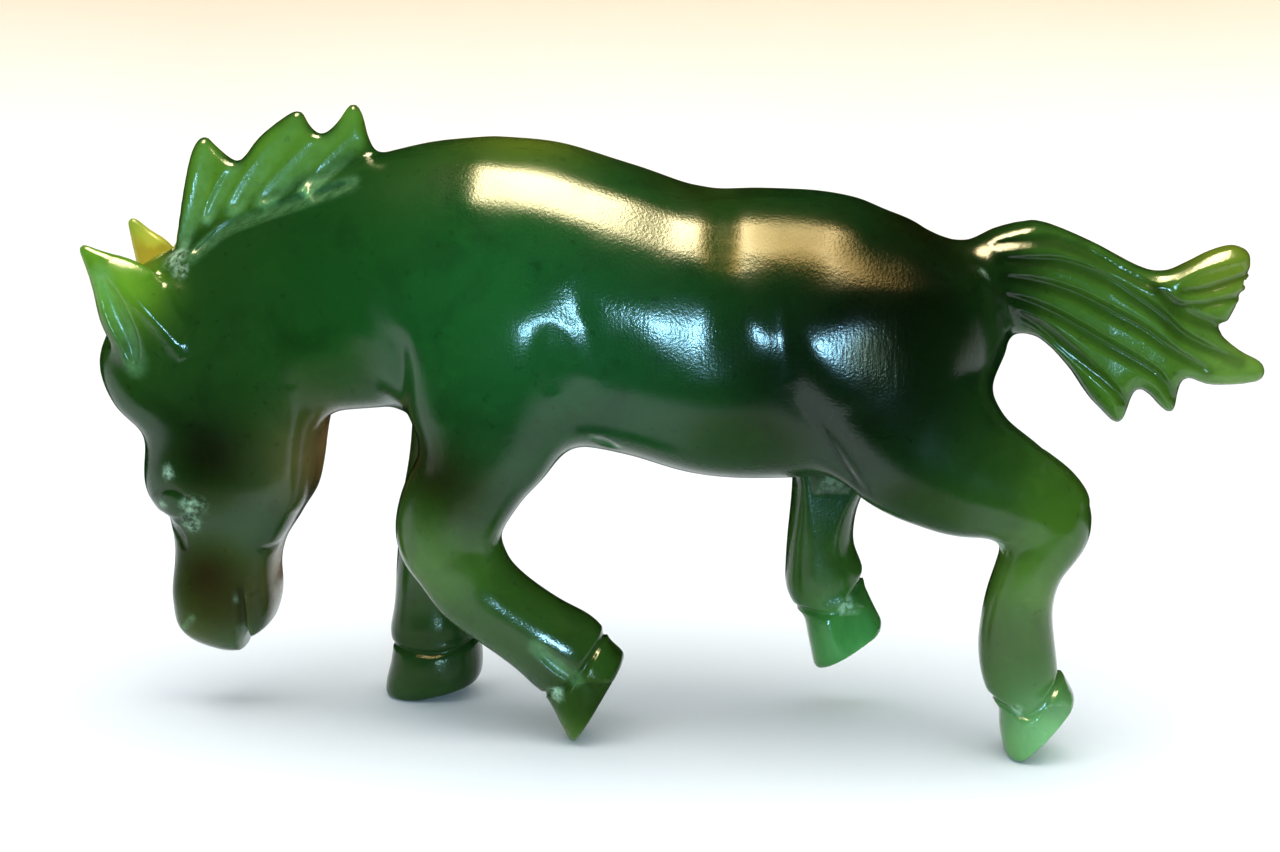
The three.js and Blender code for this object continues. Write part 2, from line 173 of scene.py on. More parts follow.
def smooth_line(rows, steps, closed=False):
    """A Catmull-Rom curve through rows of numbers."""
    rows = np.asarray(rows, float)
    if closed:
        padded = np.vstack([rows[-1:], rows, rows[:2]])
    else:
        padded = np.vstack([2 * rows[0] - rows[1], rows, 2 * rows[-1] - rows[-2]])
    t = (np.arange(steps) / steps)[:, None]
    spans = []
    for i in range(1, len(padded) - 2):
        a, b, c, d = padded[i - 1:i + 3]
        spans.append(0.5 * (2 * b + (c - a) * t + (2 * a - 5 * b + 4 * c - d) * t**2
                            + (3 * b - a - 3 * c + d) * t**3))
    if not closed:
        spans.append(rows[-1:])
    return np.vstack(spans)


def smooth_min(a, b, reach):
    """The lesser of a and b, rounded where they differ by less than reach."""
    h = np.maximum(reach - np.abs(a - b), 0) / reach
    return np.minimum(a, b) - h * h * reach / 4


def line_distance(line, x, z):
    """How far each x, z is from a line of points, and where on the line, 0 to 1, its nearest point is."""
    line = np.asarray(line, float)
    lengths = np.linalg.norm(np.diff(line, axis=0), axis=1)
    start = np.concatenate([[0], np.cumsum(lengths)]) / lengths.sum()
    best = np.full(np.broadcast(x, z).shape, 1e9)
    place = np.zeros_like(best)
    for i, length in enumerate(lengths):
        (ax, az), (bx, bz) = line[i], line[i + 1]
        t = np.clip(((x - ax) * (bx - ax) + (z - az) * (bz - az)) / length**2, 0, 1)
        d = np.hypot(x - ax - t * (bx - ax), z - az - t * (bz - az))
        nearer = d < best
        best = np.where(nearer, d, best)
        place = np.where(nearer, start[i] + t * (start[i + 1] - start[i]), place)
    return best, place


def outline_distance(outline, x, z):
    """Signed distance to a closed outline in the XZ plane, below zero inside it."""
    ring = np.vstack([outline, outline[:1]])
    distance, _ = line_distance(ring, x, z)
    inside = np.zeros(distance.shape, bool)
    for (ax, az), (bx, bz) in zip(ring[:-1], ring[1:]):
        if az != bz:
            crossing = (z < max(az, bz)) & (z >= min(az, bz))
            inside ^= crossing & (x < ax + (z - az) * (bx - ax) / (bz - az))
    return np.where(inside, -distance, distance)


def side_mask(y, side):
    """1 on the chosen side of the horse, fading to 0 across its middle."""
    if side == THROUGH:
        return np.ones_like(y)
    toward = np.abs(y) if side == BOTH else y * side
    t = np.clip((toward - SIDE_START) / SIDE_FADE, 0, 1)
    return t * t * (3 - 2 * t)


class Clay:
    """A solid as signed distances in mm on an even grid."""

    def __init__(self):
        self.low = np.array(PART_LOW) / MM - MARGIN
        high = np.array(PART_HIGH) / MM + MARGIN
        self.count = np.ceil((high - self.low) / VOXEL).astype(int) + 1
        self.axes = [self.low[a] + VOXEL * np.arange(self.count[a]) for a in range(3)]
        self.field = np.full(self.count, BAND, np.float32)
        self.marks = []

    def window(self, low, high):
        """The slices of the grid that hold a box."""
        first = np.clip(np.floor((np.array(low) - self.low) / VOXEL).astype(int), 0, self.count - 1)
        last = np.clip(np.ceil((np.array(high) - self.low) / VOXEL).astype(int) + 1, 1, self.count)
        return tuple(slice(a, b) for a, b in zip(first, last))

    def grid_points(self, window):
        x, y, z = (axis[part] for axis, part in zip(self.axes, window))
        return x[:, None, None], y[None, :, None], z[None, None, :]

    def from_faces(self, points, triangles, quads, window):
        """Signed distances to a closed mesh, inside a window."""
        grid = vdb.FloatGrid.createLevelSetFromPolygons(
            (points - self.low).astype(np.float32), triangles.astype(np.uint32), quads.astype(np.uint32),
            vdb.createLinearTransform(voxelSize=VOXEL), BAND / VOXEL)
        block = np.empty([part.stop - part.start for part in window], np.float32)
        grid.copyToArray(block, ijk=tuple(part.start for part in window))
        return block

    def join(self, block, window, reach):
        self.field[window] = smooth_min(self.field[window], block, reach)

    def sweep(self, stations, square=SQUARE, evening=0):
        """Signed distances to a form swept through oval sections, with rounded ends."""
        points, triangles, quads = sweep_mesh(stations, square, evening)
        window = self.window(points.min(0) - BAND, points.max(0) + BAND)
        return self.from_faces(points, triangles, quads, window), window

    def plate(self, outline, middle, core, edge, rounding):
        """A flat form cut to an outline. Its half thickness grows from edge to core over a distance of
        rounding; middle, core and rounding are functions of x and z."""
        outline = smooth_line(outline, 5, closed=True)
        low = [outline[:, 0].min() - BAND, -12, outline[:, 1].min() - BAND]
        high = [outline[:, 0].max() + BAND, 12, outline[:, 1].max() + BAND]
        window = self.window(low, high)
        x, y, z = self.grid_points(window)
        flat = outline_distance(outline, x[:, 0], z[0])[:, None, :]
        depth = np.clip(-flat / rounding(x, z), 0, 1)
        half = edge + (core(x, z) - edge) * np.sqrt(2 * depth - depth * depth)
        side = np.abs(y - middle(x, z)) - half
        block = -smooth_min(-flat, -side, PLATE_CORNER)
        return np.clip(block, -BAND, BAND).astype(np.float32), window

    def groove(self, line, depth, width, side=BOTH, frost=0.0, blunt=0.5):
        """A mark of a round file along a line of x, z points: deepest in its middle, tapering at both
        ends, with a crisp edge. It cuts straight in from the chosen side."""
        line = smooth_line(line, 6)
        window = self.window([line[:, 0].min() - width, -20, line[:, 1].min() - width],
                             [line[:, 0].max() + width, 20, line[:, 1].max() + width])
        x, y, z = self.grid_points(window)
        distance, along = line_distance(line, x[:, 0], z[0])
        fullness = np.sin(math.pi * np.clip(along, 0, 1)) ** blunt + 1e-3
        profile = depth * fullness * np.clip(1 - (distance / (width * fullness))**2, 0, None)
        self.field[window] += (profile[:, None, :] * side_mask(y, side)).astype(np.float32)
        # A frost above zero whitens the cut as a frosted mark; a frost below zero darkens the groove in
        # paint(), which is painted shade.
        if frost:
            self.marks.append((line, width, side, frost))

    def fold(self, line, depth, width, side=BOTH, ends=0.35):
        """A soft valley (depth above 0) or ridge (depth below 0) along a line of x, z points."""
        line = smooth_line(line, 6)
        reach = 2.4 * width
        window = self.window([line[:, 0].min() - reach, -20, line[:, 1].min() - reach],
                             [line[:, 0].max() + reach, 20, line[:, 1].max() + reach])
        x, y, z = self.grid_points(window)
        distance, along = line_distance(line, x[:, 0], z[0])
        strength = depth * np.clip(np.sin(math.pi * along), 0, 1) ** ends * np.exp(-(distance / width)**2)
        self.field[window] += (strength[:, None, :] * side_mask(y, side)).astype(np.float32)

    def swell(self, centre, radius, amount):
        """Raises the surface by amount round a point, or sinks it where amount is below zero."""
        centre = np.array(centre, float)
        window = self.window(centre - 2.4 * radius, centre + 2.4 * radius)
        x, y, z = self.grid_points(window)
        square = (x - centre[0])**2 + (y - centre[1])**2 + (z - centre[2])**2
        self.field[window] -= (amount * np.exp(-square / radius**2)).astype(np.float32)

    def shave(self, point, normal, low, high, reach=0.5):
        """Grinds a flat facet: takes away what lies beyond a plane, inside a box."""
        window = self.window(low, high)
        x, y, z = self.grid_points(window)
        normal = np.array(normal, float) / np.linalg.norm(normal)
        plane = (x - point[0]) * normal[0] + (y - point[1]) * normal[1] + (z - point[2]) * normal[2]
        self.field[window] = -smooth_min(-self.field[window], -plane, reach)

    def soften(self, radius):
        """Blurs the distances, which rounds edges and fills creases, as buffing does."""
        cells = int(round(radius / VOXEL))
        if cells < 1:
            return
        for axis in range(3):
            field = np.moveaxis(self.field, axis, 0)
            before, after = np.repeat(field[:1], cells + 1, 0), np.repeat(field[-1:], cells, 0)
            padded = np.concatenate([before, field, after])
            sums = np.cumsum(padded, axis=0, dtype=np.float64)
            mean = (sums[2 * cells + 1:] - sums[:-2 * cells - 1]) / (2 * cells + 1)
            self.field = np.moveaxis(mean.astype(np.float32), 0, axis)
        self.field = np.ascontiguousarray(self.field)

    def surface(self):
        """The mesh of the surface: points in mm, triangles and quads."""
        grid = vdb.FloatGrid(BAND)
        grid.copyFromArray(np.ascontiguousarray(self.field))
        grid.transform = vdb.createLinearTransform(voxelSize=VOXEL)
        points, triangles, quads = grid.convertToPolygons(0.0, 0.0)
        return points + self.low, triangles, quads

    def renew(self):
        """Works out true distances again, after marks have stretched them."""
        window = tuple(slice(0, n) for n in self.count)
        points, triangles, quads = self.surface()
        self.field = self.from_faces(points, triangles, quads, window)

    def sample(self, points):
        """The field between its grid points."""
        place = np.clip((points - self.low) / VOXEL, 0, np.array(self.count) - 1.001)
        cell = place.astype(int)
        f = (place - cell).astype(np.float32)
        i, j, k = cell.T
        value = 0
        for a in (0, 1):
            for b in (0, 1):
                for c in (0, 1):
                    weight = ((f[:, 0] if a else 1 - f[:, 0]) * (f[:, 1] if b else 1 - f[:, 1])
                              * (f[:, 2] if c else 1 - f[:, 2]))
                    value = value + weight * self.field[i + a, j + b, k + c]
        return value

    def slope(self, points):
        """The unit direction in which the distance grows, which is the surface's normal."""
        step = VOXEL * 0.75
        parts = []
        for axis in range(3):
            offset = np.zeros(3)
            offset[axis] = step
            parts.append(self.sample(points + offset) - self.sample(points - offset))
        normal = np.stack(parts, 1)
        return normal / np.maximum(np.linalg.norm(normal, axis=1, keepdims=True), 1e-9)


def sweep_mesh(stations, square, evening):
    """Oval sections across a smooth line. Each round of evening makes their tilts more alike."""
    rings = smooth_line(stations, RING_STEPS)
    centres = rings[:, :3]
    sizes = rings[:, 3:]
    along = np.gradient(centres, axis=0)
    along /= np.linalg.norm(along, axis=1, keepdims=True)
    for _ in range(evening):
        along[1:-1] = (along[:-2] + 2 * along[1:-1] + along[2:]) / 4
    along /= np.linalg.norm(along, axis=1, keepdims=True)
    start, end = END_BULGE * sizes[0].min(), END_BULGE * sizes[-1].min()
    before = [(centres[0] - along[0] * start * math.sin(a), sizes[0] * math.cos(a), along[0])
              for a in END_ANGLES[::-1]]
    after = [(centres[-1] + along[-1] * end * math.sin(a), sizes[-1] * math.cos(a), along[-1])
             for a in END_ANGLES]
    sections = before + list(zip(centres, sizes, along)) + after
    turn = np.arange(RING_SIDES) / RING_SIDES * 2 * math.pi
    c, s = np.cos(turn), np.sin(turn)
    across_share = np.sign(c) * np.abs(c) ** (2 / square)
    side_share = np.sign(s) * np.abs(s) ** (2 / square)
    points = []
    for centre, (half, width), direction in sections:
        side = np.array([0.0, 1.0, 0.0]) - direction * direction[1]
        side /= np.linalg.norm(side)
        across = np.cross(side, direction)
        points.append(centre + np.outer(across_share * half, across) + np.outer(side_share * width, side))
    poles = [sections[0][0], sections[-1][0]]
    n, rows = RING_SIDES, len(sections)
    j = np.arange(n)
    step = (j + 1) % n
    quads = np.vstack([np.stack([r * n + j, r * n + step, (r + 1) * n + step, (r + 1) * n + j], 1)
                       for r in range(rows - 1)])
    first = np.stack([np.full(n, rows * n), step, j], 1)
    last = np.stack([np.full(n, rows * n + 1), (rows - 1) * n + j, (rows - 1) * n + step], 1)
    return np.vstack(points + [poles]), np.vstack([first, last]), quads


def body_masses(clay):
    """Torso, neck, head and limbs, joined and buffed together."""
    for stations, square, reach, evening in (
        (TORSO, SQUARE, 0.5, 0), (NECK, SQUARE, 2.0, 0), (HEAD, HEAD_SQUARE, 1.6, HEAD_EVENING),
    ):
        clay.join(*clay.sweep(stations, square, evening), reach)
    for limb, _, _ in LEGS:
        clay.join(*clay.sweep(limb), LIMB_JOIN)
    clay.renew()
    for _ in range(2):
        clay.soften(BUFFING)


def hooves(clay):
    """Hooves with their undersides ground flat, none of them below the ground."""
    for _, hoof, (x, z, slope) in LEGS:
        block, window = clay.sweep(hoof, HOOF_SQUARE)
        gx, _, gz = clay.grid_points(window)
        angle = math.radians(slope)
        beyond = (gx - x) * math.sin(angle) - (gz - z) * math.cos(angle)
        block = -smooth_min(-block, -beyond, 0.5)
        block = -smooth_min(-block, gz, 0.3)
        clay.join(block, window, 0.35)


def ears(clay):
    clay.join(*clay.sweep(NEAR_EAR, 2.0), 1.2)
    thin = lambda x, z: 0.75 + 0.9 * np.clip((50.5 - z) / 9, 0, 1)
    clay.join(*clay.plate(FAR_EAR_OUTLINE, lambda x, z: 5.4 - 0.12 * (z - 46), thin, 0.35,
                          lambda x, z: 1.4), 0.5)


def mane(clay):
    rise = lambda z: np.clip((z - 47) / 17, 0, 1)
    core = lambda x, z: 2.3 - 1.4 * rise(z)
    clay.join(*clay.plate(MANE_OUTLINE, lambda x, z: 0.0 * x, core, 0.45, lambda x, z: 1.3), 0.8)


def tail(clay):
    stations = np.array([(24, 5.6, 0.0), (28, 5.0, 0.2), (33, 3.9, 0.6), (38, 3.0, 1.0), (43.5, 2.5, 0.8),
                         (49.5, 2.1, 0.2), (55.5, 1.7, 0.6), (62, 1.4, 1.2)])
    core = lambda x, z: np.interp(x, stations[:, 0], stations[:, 1])
    middle = lambda x, z: np.interp(x, stations[:, 0], stations[:, 2])
    rounding = lambda x, z: np.interp(x, (28, 36, 46, 56), (4.6, 4.0, 2.2, 1.4))
    clay.join(*clay.plate(TAIL_OUTLINE, middle, core, 0.35, rounding), 1.4)


# ---------------------------------------------------------------- tool marks, as x, z lines


def carve_mane(clay):
    """Five gouges up the crest and one along its foot."""
    for line, width in (
        ([(-46.5, 60.4), (-47.7, 54.9), (-49.3, 50.3)], 0.85),
        ([(-43.9, 57.9), (-45.2, 55.5), (-46.8, 52.7)], 0.70),
        ([(-36.3, 63.3), (-40.4, 58.6), (-44.0, 53.8)], 0.95),
        ([(-31.7, 63.6), (-36.3, 58.8), (-40.9, 54.5)], 1.05),
        ([(-31.2, 60.8), (-33.6, 58.3), (-36.3, 55.7)], 0.90),
    ):
        clay.groove(line, 0.95, width, frost=1.0, blunt=0.3)
    base = [(-31.0, 56.9), (-36.6, 54.9), (-40.9, 53.4), (-44.4, 51.9), (-47.8, 49.2)]
    clay.groove(base, 0.9, 0.75, frost=0.35, blunt=0.3)


def carve_tail(clay):
    """Strand grooves darkened with painted shade, nicks between the tips and a ridge on the upper lobe."""
    for line, depth, width in (
        ([(31.9, 51.2), (36.9, 51.6), (39.4, 51.0), (41.9, 49.9), (44.9, 48.3), (48.0, 47.0)], 0.45, 0.7),
        ([(32.7, 49.9), (38.6, 49.4), (42.9, 47.9), (45.9, 46.1), (48.5, 44.3), (51.1, 42.1),
          (56.5, 39.6)],
         0.7, 0.8),
        ([(33.2, 48.2), (37.0, 47.3), (40.4, 46.1), (43.8, 44.4), (47.1, 42.7), (49.8, 40.8),
          (53.4, 38.8)],
         0.6, 0.8),
        ([(33.2, 46.4), (36.2, 45.2), (38.8, 43.9), (42.6, 41.7), (46.1, 39.8), (48.6, 38.2),
          (50.4, 35.6)],
         0.6, 0.8),
        ([(34.4, 44.6), (37.0, 43.0), (39.4, 41.0), (41.6, 39.2), (43.9, 37.2), (45.6, 35.2)], 0.55, 0.75),
        ([(48.1, 46.9), (50.0, 45.1), (52.4, 43.8), (55.6, 42.9)], 0.55, 0.9),
        ([(50.0, 45.6), (52.3, 45.4), (54.4, 45.8), (57.6, 46.6)], 0.35, 0.5),
        ([(50.4, 46.7), (53.3, 47.1), (57.4, 48.6)], 0.35, 0.5),
    ):
        # The frost of -0.4 darkens each strand groove: painted shade.
        clay.groove(line, depth, width, side=THROUGH, frost=-0.4, blunt=0.35)
    for line in ([(46.9, 33.0), (46.6, 34.4)], [(51.6, 34.2), (51.0, 35.4)], [(57.9, 47.7), (56.6, 47.4)],
                 [(57.4, 44.6), (55.9, 44.9)]):
        clay.groove(line, 1.3, 0.35, side=THROUGH, blunt=0.2)
    clay.fold([(49.6, 47.4), (51.6, 48.7), (53.8, 49.4), (57.0, 50.2)], -0.35, 0.5, THROUGH)


def carve_ears(clay):
    """The near ear's hollow and the ridge behind it."""
    clay.groove([(-56.0, 47.6), (-54.8, 44.0), (-53.8, 41.2), (-53.4, 38.4)], 1.1, 1.3, NEAR, 0.35, 0.45)
    clay.fold([(-56.0, 48.6), (-53.4, 46.2), (-51.0, 43.8), (-49.5, 41.8), (-48.1, 39.2)], -0.5, 1.0, NEAR)
    clay.fold([(-51.2, 47.6), (-49.4, 44.0), (-47.4, 41.6)], 0.7, 1.0, NEAR)


def carve_head(clay):
    """Hollowed rear of the jaw, brow step, mouth, nostrils, eyes and the ground chin."""
    for y in (-4.6, 0.6, 5.8):
        clay.swell((-35.2, y, 29.5), 4.2, -0.55)
    clay.fold([(-37.2, 36.6), (-37.6, 32.6), (-38.1, 28.6), (-38.2, 25.4), (-38.0, 22.6)], -0.2, 1.0, NEAR)
    # A frost below zero on these two grooves darkens them: painted shade in the grooves.
    clay.groove([(-52.6, 22.4), (-51.2, 21.2), (-50.2, 19.9), (-49.8, 18.6)], 0.35, 0.7, BOTH, -0.3, 0.25)
    clay.groove([(-44.2, 14.4), (-44.2, 11.5), (-44.4, 8.0)], 0.6, 0.5, BOTH, -0.35, 0.25)
    clay.groove([(-44.7, 6.4), (-44.4, 8.6), (-44.3, 9.8)], 1.5, 0.7, THROUGH, 0.2, 0.2)
    clay.groove([(-50.8, 9.6), (-50.3, 10.2), (-49.6, 11.0)], 0.35, 0.35, BOTH, 0.3)
    for side, y in ((NEAR, -6.6), (FAR, 7.8)):
        clay.swell((-50.2, y, 23.5), 1.4, 0.18)
        # A frost below zero on the eye grooves darkens them: painted shade in the grooves.
        clay.groove([(-52.9, 23.8), (-51.6, 25.1), (-50.0, 25.4), (-48.2, 24.2)], 0.18, 0.4, side, -0.2, 0.4)
        clay.groove([(-52.4, 22.6), (-51.0, 22.0), (-49.4, 22.2), (-48.0, 23.2)], 0.2, 0.45, side, -0.2, 0.4)
    clay.shave((-43.0, 1.0, 8.9), (0.42, 0, -0.9), (-44.2, -9, 4), (-36, 11, 14), 0.4)
    clay.groove([(-42.2, 18.9), (-41.4, 18.6), (-40.0, 18.2)], 0.3, 0.7, NEAR, 0.0, 0.3)


def carve_body(clay):
    """Soft valleys and swells of the flank, shoulder and haunch, and the thigh's creases."""
    clay.fold([(11.2, 48.0), (11.8, 45.0), (12.6, 41.4), (13.8, 38.2)], 0.3, 1.2, BOTH, ends=0.8)
    clay.fold([(12.4, 39.4), (14.0, 36.6), (15.9, 33.6), (18.0, 30.6), (20.2, 27.4)], 0.55, 1.2, BOTH,
              ends=0.7)
    # A frost below zero on these two crease grooves darkens them: painted shade in the thigh's creases.
    clay.groove([(13.8, 37.4), (15.5, 34.6), (18.0, 30.7), (19.9, 27.6)], 0.22, 0.35, BOTH, -0.3)
    clay.groove([(17.0, 31.8), (18.5, 29.8), (20.2, 27.8)], 0.2, 0.3, BOTH, -0.2)
    clay.fold([(5.4, 57.6), (5.8, 53.6), (6.2, 49.6)], 0.36, 1.5, BOTH, ends=0.8)
    clay.fold([(3.4, 48.0), (3.8, 44.0), (4.6, 39.0)], 0.2, 2.8, BOTH, ends=0.8)
    clay.fold([(7.4, 50.0), (8.4, 45.5), (9.6, 40.0)], -0.32, 2.0, BOTH, ends=0.8)
    clay.fold([(-8.6, 49.0), (-7.6, 45.0), (-7.0, 40.0)], 0.22, 1.4, BOTH, ends=0.8)
    clay.fold([(12.6, 45.6), (14.2, 42.6), (16.4, 39.4), (18.6, 36.6)], -0.4, 2.6, BOTH, ends=0.8)
    for side in (NEAR, FAR):
        clay.swell((13.8, side * 12.0, 44.6), 5.0, 0.6)
        clay.swell((-13.6, side * 11.5, 42.0), 5.5, 0.8)
        clay.swell((-6.4, side * 12.8, 39.5), 4.6, -0.3)
    clay.fold([(-10.3, 44.6), (-10.6, 41.6), (-10.4, 37.6)], 0.25, 1.0, BOTH)
    clay.fold([(-8.3, 45.0), (-7.6, 42.0), (-6.9, 38.5)], -0.2, 0.9, BOTH)
    clay.groove([(-4.4, 31.2), (-5.4, 31.6), (-6.8, 32.6)], 0.5, 0.5, BOTH, 0.2)
    clay.fold([(-25.6, 43.0), (-25.4, 38.7), (-25.6, 34.8)], 0.3, 0.8, BOTH)


def carve_legs(clay):
    """A groove round each coronet, facets on the hooves and the point of the hock."""
    for line in (
        [(-13.0, 4.2), (-11.6, 5.6), (-8.8, 7.4), (-6.3, 11.0), (-5.4, 12.8)],
        [(-31.6, 5.9), (-29.6, 5.8), (-24.9, 5.5), (-20.5, 6.9), (-19.4, 7.5)],
        [(32.4, 6.9), (34.0, 6.1), (36.8, 5.4), (39.8, 9.0), (40.8, 11.0)],
        [(12.6, 11.4), (14.0, 11.6), (17.1, 11.6), (19.9, 14.6), (20.8, 16.2)],
    ):
        clay.groove(line, 0.45, 0.42, THROUGH, 0.0, 0.2)
    clay.groove([(-12.6, 11.0), (-10.2, 9.0), (-8.4, 7.6)], 0.4, 0.9, NEAR, 0.3, 0.4)
    clay.shave((-7.0, -9.2, 4.6), (0.3, -0.9, 0.1), (-12, -12, -1), (-2, -5, 7.0), 0.25)
    clay.shave((-23.4, 3.1, 4.0), (0.3, -0.92, 0.16), (-29, -1, -1), (-19, 6, 5.6), 0.25)
    clay.shave((39.4, -9.6, 3.0), (0.35, -0.9, 0.1), (33, -12, -1), (44, -5, 6.0), 0.25)
    clay.shave((18.6, 2.4, 9.0), (0.3, -0.92, 0.16), (13, -1, 3), (24, 6, 11.8), 0.25)
    clay.shave((16.4, 2.5, 20.0), (0.12, -0.98, 0.05), (12, -1, 12.4), (20, 6, 26.4), 0.25)
    clay.fold([(37.0, 31.0), (39.6, 29.2), (42.0, 26.8)], -0.4, 0.7, BOTH)


def sculpt():
    clay = Clay()
    body_masses(clay)
    carve_body(clay)
    clay.renew()
    ears(clay)
    mane(clay)
    tail(clay)
    hooves(clay)
    clay.renew()
    clay.soften(VOXEL)
    carve_head(clay)
    carve_ears(clay)
    carve_mane(clay)
    carve_tail(clay)
    carve_legs(clay)
    return clay


# ---------------------------------------------------------------- the mesh


def largest_part(points, triangles, quads):
    """Leaves out any crumb that isn't joined to the horse."""
    edges = np.vstack([triangles[:, [0, 1]], triangles[:, [1, 2]], quads[:, [0, 1]], quads[:, [1, 2]],
                       quads[:, [2, 3]]])
    label = np.arange(len(points))
    while True:
        least = np.minimum(label[edges[:, 0]], label[edges[:, 1]])
        lower = label.copy()
        np.minimum.at(lower, edges[:, 0], least)
        np.minimum.at(lower, edges[:, 1], least)
        lower = lower[lower]
        if (lower == label).all():
            break
        label = lower
    names, counts = np.unique(label, return_counts=True)
    keep = label == names[counts.argmax()]
    renumber = np.cumsum(keep) - 1
    triangles = renumber[triangles[keep[triangles].all(1)]]
    quads = renumber[quads[keep[quads].all(1)]]
    return points[keep], triangles, quads


def make_mesh(clay):
    """The clay's surface as an object, thinned to the triangle limit."""
    points, triangles, quads = largest_part(*clay.surface())
    mesh = bpy.data.meshes.new("carved_jade_horse")
    mesh.from_pydata((points * MM).tolist(), [], triangles.tolist() + quads.tolist())
    horse = bpy.data.objects.new("carved_jade_horse", mesh)
    bpy.context.scene.collection.objects.link(horse)
    whole = len(triangles) + 2 * len(quads)
    if whole > MAX_TRIANGLES:
        thin = horse.modifiers.new("thin_out", "DECIMATE")
        thin.ratio = MAX_TRIANGLES / whole
        depsgraph = bpy.context.evaluated_depsgraph_get()
        lighter = bpy.data.meshes.new_from_object(horse.evaluated_get(depsgraph))
        horse.modifiers.clear()
        horse.data = lighter
        bpy.data.meshes.remove(mesh)
        lighter.name = "carved_jade_horse"
    settle(clay, horse.data)
    return horse


def get_points(mesh):
    flat = np.empty(len(mesh.vertices) * 3, np.float32)
    mesh.vertices.foreach_get("co", flat)
    return flat.reshape(-1, 3).astype(float) / MM


def settle(clay, mesh):
    """Moves each vertex onto the surface, and gives the mesh the clay's own normals."""
    points = get_points(mesh)
    furthest = 0.2
    for _ in range(3):
        points -= np.clip(clay.sample(points), -furthest, furthest)[:, None] * clay.slope(points)
    mesh.vertices.foreach_set("co", (points * MM).astype(np.float32).ravel())
    mesh.update()
    mesh.shade_smooth()
    mesh.normals_split_custom_set_from_vertices(clay.slope(points).tolist())


# ---------------------------------------------------------------- painting the stone


def stone_thickness(clay, points, normals):
    """How thick the stone is straight in from each vertex, in mm, evened out over its surroundings."""
    step, furthest = 0.5, 24.0
    thickness = np.full(len(points), furthest)
    going = np.ones(len(points), bool)
    for depth in np.arange(1.0, furthest, step):
        inside = clay.sample(points[going] - normals[going] * depth) < 0
        index = np.nonzero(going)[0]
        thickness[index[~inside]] = depth
        going[index[~inside]] = False
        if not going.any():
            break
    return thickness


def spread(mesh, values, rounds):
    """Evens out a value over neighbouring vertices."""
    edges = np.empty(len(mesh.edges) * 2, np.int32)
    mesh.edges.foreach_get("vertices", edges)
    a, b = edges.reshape(-1, 2).T
    degree = np.bincount(a, minlength=len(values)) + np.bincount(b, minlength=len(values)) + 1
    for _ in range(rounds):
        total = values + np.bincount(a, values[b], len(values)) + np.bincount(b, values[a], len(values))
        values = total / degree
    return values


def linear(colour):
    """A display colour, 0 to 255, as the renderer counts it."""
    c = np.asarray(colour, float) / 255
    return np.where(c <= 0.04045, c / 12.92, ((c + 0.055) / 1.055) ** 2.4)


